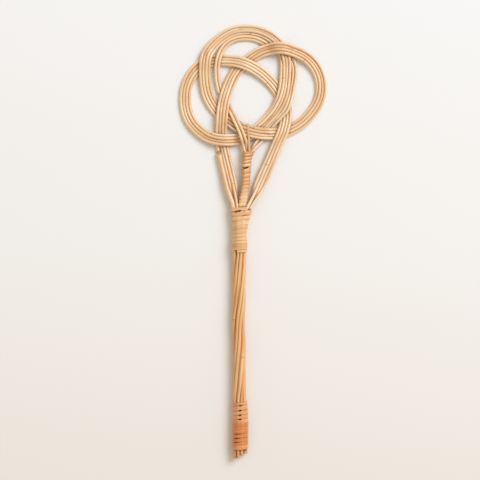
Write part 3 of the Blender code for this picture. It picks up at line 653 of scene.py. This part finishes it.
def sweep_tie():
    """The tie's strand, on the line of a band stretched round the canes that it passes."""
    low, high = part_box("knot_tie")
    x = (low.x + high.x) / 2
    rows = []
    for name in CANE_NODES:
        line = lines[name]
        held = (np.abs(line[:, 0] - x) < TIE_WIDTH) & (line[:, 1] > low.y - TIE_REACH)
        held &= line[:, 1] < high.y
        rows += [(y, z, radius + FULLER) for _, y, z, radius in line[held]]
    rows = np.array(rows)
    turning = np.linspace(TIE_TURN, -TIE_TURN, 2 * TURN_POINTS)
    outward = np.stack([np.cos(turning), np.sin(turning)], 1)
    far = np.argmax(outward @ rows[:, :2].T + rows[:, 2], axis=1)
    y, z = (rows[far, :2] + outward * rows[far, 2:]).T
    bare = smooth_route(np.stack([np.full_like(y, x), y, z], 1)[::TIE_THINNED], TIE_STEP)
    bare = bare[bare[:, 1] > low.y]
    bare[:, 0] += TIE_LEAN * ((low.y + high.y) / 2 - bare[:, 1])
    along = np.gradient(bare, axis=0)
    lift = np.cross((1, 0, 0), along)
    lift /= np.linalg.norm(lift, axis=1)[:, None]
    lift *= np.sign(lift[0, 2])
    return sweep_strip("split_knot_tie", bare, lift, TIE_WIDTH, TIE_THICKNESS, TIE_NUMBER)


pieces["knot_tie"] = sweep_tie()

# %% [markdown]
# Colours are written as sRGB hex, as one reads them off a sample card, and turned to linear light
# once, here. One small function adds a node to a material, sets it and links it, so that each
# material below reads as a list of what it does. The others do what the materials share: a noise
# drawn along the grain, a ramp of colours, a tint laid over a colour, and the shader at the end.
# A mix node has its sockets once for every kind of value, so those for colour go by number.

# %% Colour and node helpers
MIX_BELOW, MIX_ABOVE = 6, 7
MIX_RESULT = 2


def linear(hex_colour):
    """A hex colour such as F3CFA0 as linear red, green, blue and full alpha."""
    parts = [int(hex_colour[k : k + 2], 16) / 255 for k in (0, 2, 4)]
    return (*(v / 12.92 if v <= 0.04045 else ((v + 0.055) / 1.055) ** 2.4 for v in parts), 1)


def add_node(tree, kind, sockets=None, **settings):
    """Adds a node. Each socket takes a value, or another node's output to be linked to."""
    node = tree.nodes.new(kind)
    for name, value in settings.items():
        setattr(node, name, value)
    for name, value in (sockets or {}).items():
        if isinstance(value, bpy.types.NodeSocket):
            tree.links.new(value, node.inputs[name])
        else:
            node.inputs[name].default_value = value
    return node


def new_material(name):
    material = bpy.data.materials.new(name)
    material.use_nodes = True
    tree = material.node_tree
    tree.nodes.clear()
    return material, tree


def grain_noise(tree, place, width, length, detail, roughness, shift=(0, 0, 0)):
    """Noise in patches this wide and this long, drawn along the grain."""
    stretched = add_node(tree, "ShaderNodeMapping", {
        "Vector": place, "Location": shift, "Scale": (1 / width, 1 / width, 1 / length),
    })
    noise = add_node(tree, "ShaderNodeTexNoise", {
        "Vector": stretched.outputs["Vector"], "Scale": 1.0, "Detail": detail, "Roughness": roughness,
    })
    return noise.outputs["Fac"]


def colour_ramp(tree, share, first, last, *between):
    """The colour at a share of the way along a ramp, whose stops are (share, hex colour)."""
    ramp = add_node(tree, "ShaderNodeValToRGB", {"Fac": share})
    stops = ramp.color_ramp.elements
    for stop, (position, colour) in zip(stops, (first, last)):
        stop.position = position
        stop.color = linear(colour)
    for position, colour in between:
        stops.new(position).color = linear(colour)
    return ramp.outputs["Color"]


def tinted(tree, share, below, colour, blend="MULTIPLY"):
    """A colour with another laid over it by a share."""
    mix = add_node(tree, "ShaderNodeMix", {
        "Factor": share, MIX_BELOW: below, MIX_ABOVE: linear(colour),
    }, data_type="RGBA", blend_type=blend)
    return mix.outputs[MIX_RESULT]


def kept_mark(tree, name):
    """A mark that the sweep kept with the mesh."""
    return add_node(tree, "ShaderNodeAttribute", attribute_name=name).outputs["Fac"]


def add_shader(tree, sockets):
    shader = add_node(tree, "ShaderNodeBsdfPrincipled", sockets)
    add_node(tree, "ShaderNodeOutputMaterial", {"Surface": shader.outputs["BSDF"]})


# %% [markdown]
# Peeled rattan is a grass-like wood: pale straw to peach, with fine fibres along it and slow
# changes of tone from cane to cane. It is brushed with clear varnish, which gives a soft satin
# gloss. Its fibres are about 0.3 mm wide. That is finer than a pixel, so they are drawn 0.5 mm
# wide and four centimetres long, which shows as faint streaks. A second slow tone turns patches a
# finger long a little pink, as raw rattan does. The scars of the leaf rings are brown. Two tints
# are multiplied in by what the sweep kept: a golden one where hands hold the handle, and a deep
# brown one that is painted shade in the grooves, under crossings and under bindings, and dirt on
# the stubs. A little light goes into the wood and comes out again, which keeps the shaded sides
# warm.

# %% Varnished rattan
FIBRE_WIDTH = 0.5 * MM
FIBRE_LENGTH = 40 * MM
TONE_WIDTH = 6 * MM
TONE_LENGTH = 140 * MM
BLUSH_WIDTH = 7 * MM
BLUSH_LENGTH = 55 * MM
BLUSH_SHIFT = (7.0, 3.0, 11.0)
GRAIN_DEPTH = 0.06 * MM
GLOSS_SWING = 0.06
# The deep brown of the painted shade between the canes, which also darkens the dirty stubs.
SHADE_AND_DIRT_TINT = "9C6232"


def cane_material(name, tones, scar, blush, held, roughness, coat):
    material, tree = new_material(name)
    pale, middle, deep = tones
    place = add_node(tree, "ShaderNodeAttribute", attribute_name="grown").outputs["Vector"]
    fibres = grain_noise(tree, place, FIBRE_WIDTH, FIBRE_LENGTH, detail=3.0, roughness=0.6)
    patches = grain_noise(tree, place, TONE_WIDTH, TONE_LENGTH, detail=4.0, roughness=0.55)
    tone = colour_ramp(tree, patches, (0.32, deep), (0.66, pale), (0.48, middle))
    shade = add_node(tree, "ShaderNodeMapRange", {
        "Value": fibres, "From Min": 0.30, "From Max": 0.70, "To Min": 0.86, "To Max": 1.05,
    })
    streaked = add_node(tree, "ShaderNodeVectorMath", {
        0: tone, "Scale": shade.outputs["Result"],
    }, operation="SCALE")
    pink = grain_noise(tree, place, BLUSH_WIDTH, BLUSH_LENGTH, 2.0, 0.5, BLUSH_SHIFT)
    pink_share = add_node(tree, "ShaderNodeMapRange", {
        "Value": pink, "From Min": 0.42, "From Max": 0.62, "To Min": 0.0, "To Max": 1.0,
    })
    blushed = tinted(tree, pink_share.outputs["Result"], streaked.outputs["Vector"], blush)
    scarred = tinted(tree, kept_mark(tree, "scar"), blushed, scar, blend="MIX")
    handled = tinted(tree, kept_mark(tree, "held"), scarred, held)
    # Painted shade in the grooves, under crossings and under bindings, and dirt on the stubs.
    shaded_and_dirty = tinted(tree, kept_mark(tree, "shade_and_dirt"), handled, SHADE_AND_DIRT_TINT)
    bump = add_node(tree, "ShaderNodeBump", {
        "Height": fibres, "Distance": GRAIN_DEPTH, "Strength": 0.5,
    })
    gloss = add_node(tree, "ShaderNodeMapRange", {
        "Value": patches, "From Min": 0.30, "From Max": 0.70,
        "To Min": roughness + GLOSS_SWING, "To Max": roughness - GLOSS_SWING,
    })
    add_shader(tree, {
        "Base Color": shaded_and_dirty, "Roughness": gloss.outputs["Result"], "IOR": 1.5,
        "Coat Weight": coat, "Coat Roughness": 0.22, "Normal": bump.outputs["Normal"],
        "Subsurface Weight": 0.12, "Subsurface Radius": (1.0, 0.45, 0.2), "Subsurface Scale": 2.0 * MM,
    })
    return material


rattan = cane_material(
    "varnished peeled rattan", ("FCE4C4", "F8D8AC", "EFC696"),
    scar="C8945E", blush="F9E7DC", held="F6E0BF", roughness=0.34, coat=0.6,
)
print(f"{rattan.name}: streaks {FIBRE_WIDTH / MM:.1f} mm wide, tones {TONE_LENGTH / MM:.0f} mm long")

# %% [markdown]
# The bindings are split from the outer skin of the rattan, which is more orange, and the one at the
# end of the handle is darker from being held. The same recipe serves, with deeper colours and a
# weaker shine.

# %% Split cane
split_cane = cane_material(
    "varnished split cane", ("F6CE9E", "F0C18E", "E4AB74"),
    scar="B97F4A", blush="F8EBDE", held="F0E2C8", roughness=0.36, coat=0.4,
)
dark_split_cane = cane_material(
    "dark varnished split cane", ("F2BC84", "ECAD74", "E09A60"),
    scar="9A5A2C", blush="F7E6D3", held="EECDAA", roughness=0.36, coat=0.35,
)

# %% [markdown]
# A cut end shows the inside of the cane: a pale brown core full of pores, each about a third of a
# millimetre wide. Dots of that size are at the limit of the picture, so they are drawn 0.5 mm
# apart.

# %% Cut ends
PORE_SPACING = 0.5 * MM


def pith_material():
    material, tree = new_material("sawn rattan core")
    place = add_node(tree, "ShaderNodeAttribute", attribute_name="grown")
    flat = add_node(tree, "ShaderNodeMapping", {
        "Vector": place.outputs["Vector"], "Scale": (1 / PORE_SPACING, 1 / PORE_SPACING, 0.0),
    })
    pores = add_node(tree, "ShaderNodeTexVoronoi", {"Vector": flat.outputs["Vector"], "Scale": 1.0})
    core = colour_ramp(tree, pores.outputs["Distance"], (0.18, "7A4A22"), (0.42, "DDB27A"))
    add_shader(tree, {"Base Color": core, "Roughness": 0.8})
    return material


pith = pith_material()

# %% [markdown]
# Each swept piece takes the place of its imported solid, rides with the part's one body and takes
# the material of the finish that it stands for.

# %% Dress the part
FINISHES = {"end_binding": (dark_split_cane, "dark_binding")}
for node in ("neck_binding", "stem_collar", "stem_binding", "knot_tie"):
    FINISHES[node] = (split_cane, "binding")
for node, piece in pieces.items():
    material, slot = FINISHES.get(node, (rattan, "cane"))
    piece.data.materials.append(material)
    piece.data.materials.append(pith)
    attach(piece, "root")
    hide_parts(node)
print(f"{len(pieces)} pieces stand for {len(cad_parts)} solids")

# %% [markdown]
# The beater lies on a sheet of white paper. Its colour is painted a little darker and warmer
# towards the butt, as painted falloff of the window's light. A large window at the upper right
# gives the light edge and the soft shadow on the left of each cane, and its daylight is a little
# cool. The walls of the room send back warmer light, which fills the shadows. The two together
# light a level surface so that a colour comes out about as written.

# %% Paper and light
PAPER_SIZE = 8.0
PAPER_DROP = 0.0001
PAPER_TONES_AND_FALLOFF = ("ECE7E1", "F1F0EE", "F3F3F4")
WINDOW_SIZE = 6.0
WINDOW_DISTANCE = 10.0
WINDOW_HEIGHT_ANGLE = math.radians(47)
WINDOW_AZIMUTH = math.radians(38)
WINDOW_COLOUR = (0.90, 0.99, 1.11)
ROOM_COLOUR = "FFF3E2"
SEEN_COLOUR = "F1ECE5"
SKY_SHARE = 0.62
WINDOW_SHARE = 0.49


def lay_paper():
    material, tree = new_material("warm white paper")
    place = add_node(tree, "ShaderNodeTexCoord")
    split = add_node(tree, "ShaderNodeSeparateXYZ", {"Vector": place.outputs["Object"]})
    down = add_node(tree, "ShaderNodeMapRange", {
        "Value": split.outputs["Y"], "From Min": -FRAME_WIDTH / 2, "From Max": FRAME_WIDTH / 2,
    })
    # The paper's tone, painted darker and warmer towards the butt as falloff of the light.
    low, middle, high = zip((0, 0.5, 1), PAPER_TONES_AND_FALLOFF)
    tone = colour_ramp(tree, down.outputs["Result"], low, high, middle)
    add_shader(tree, {"Base Color": tone, "Roughness": 0.9, "Specular IOR Level": 0.1})
    data = bpy.data.meshes.new("paper")
    half = PAPER_SIZE / 2
    corners = [(-half, -half, 0), (half, -half, 0), (half, half, 0), (-half, half, 0)]
    data.from_pydata(corners, [], [(0, 1, 2, 3)])
    data.materials.append(material)
    paper = bpy.data.objects.new("paper", data)
    paper.location.z = -PAPER_DROP
    bpy.context.scene.collection.objects.link(paper)


def open_window():
    toward = (
        math.cos(WINDOW_HEIGHT_ANGLE) * math.cos(WINDOW_AZIMUTH),
        math.cos(WINDOW_HEIGHT_ANGLE) * math.sin(WINDOW_AZIMUTH),
        math.sin(WINDOW_HEIGHT_ANGLE),
    )
    lamp = bpy.data.lights.new("window", "AREA")
    lamp.shape = "DISK"
    lamp.size = WINDOW_SIZE
    lamp.energy = WINDOW_SHARE * math.pi**2 * WINDOW_DISTANCE**2 / math.sin(WINDOW_HEIGHT_ANGLE)
    lamp.color = WINDOW_COLOUR
    item = bpy.data.objects.new("window", lamp)
    item.location = [share * WINDOW_DISTANCE for share in toward]
    item.rotation_euler = (math.pi / 2 - WINDOW_HEIGHT_ANGLE, 0, WINDOW_AZIMUTH + math.pi / 2)
    bpy.context.scene.collection.objects.link(item)
    print(f"a window of {lamp.energy:.0f} W, {WINDOW_DISTANCE} m away")


def light_sky():
    world = bpy.data.worlds.new("white studio")
    world.use_nodes = True
    tree = world.node_tree
    tree.nodes.clear()
    sky = add_node(tree, "ShaderNodeBackground", {"Color": linear(ROOM_COLOUR), "Strength": SKY_SHARE})
    seen = add_node(tree, "ShaderNodeBackground", {"Color": linear(SEEN_COLOUR), "Strength": 1.0})
    ray = add_node(tree, "ShaderNodeLightPath")
    mix = add_node(tree, "ShaderNodeMixShader", {
        "Fac": ray.outputs["Is Camera Ray"],
        1: sky.outputs["Background"],
        2: seen.outputs["Background"],
    })
    add_node(tree, "ShaderNodeOutputWorld", {"Surface": mix.outputs["Shader"]})
    bpy.context.scene.world = world


lay_paper()
open_window()
light_sky()
bpy.context.scene.view_settings.view_transform = "Standard"
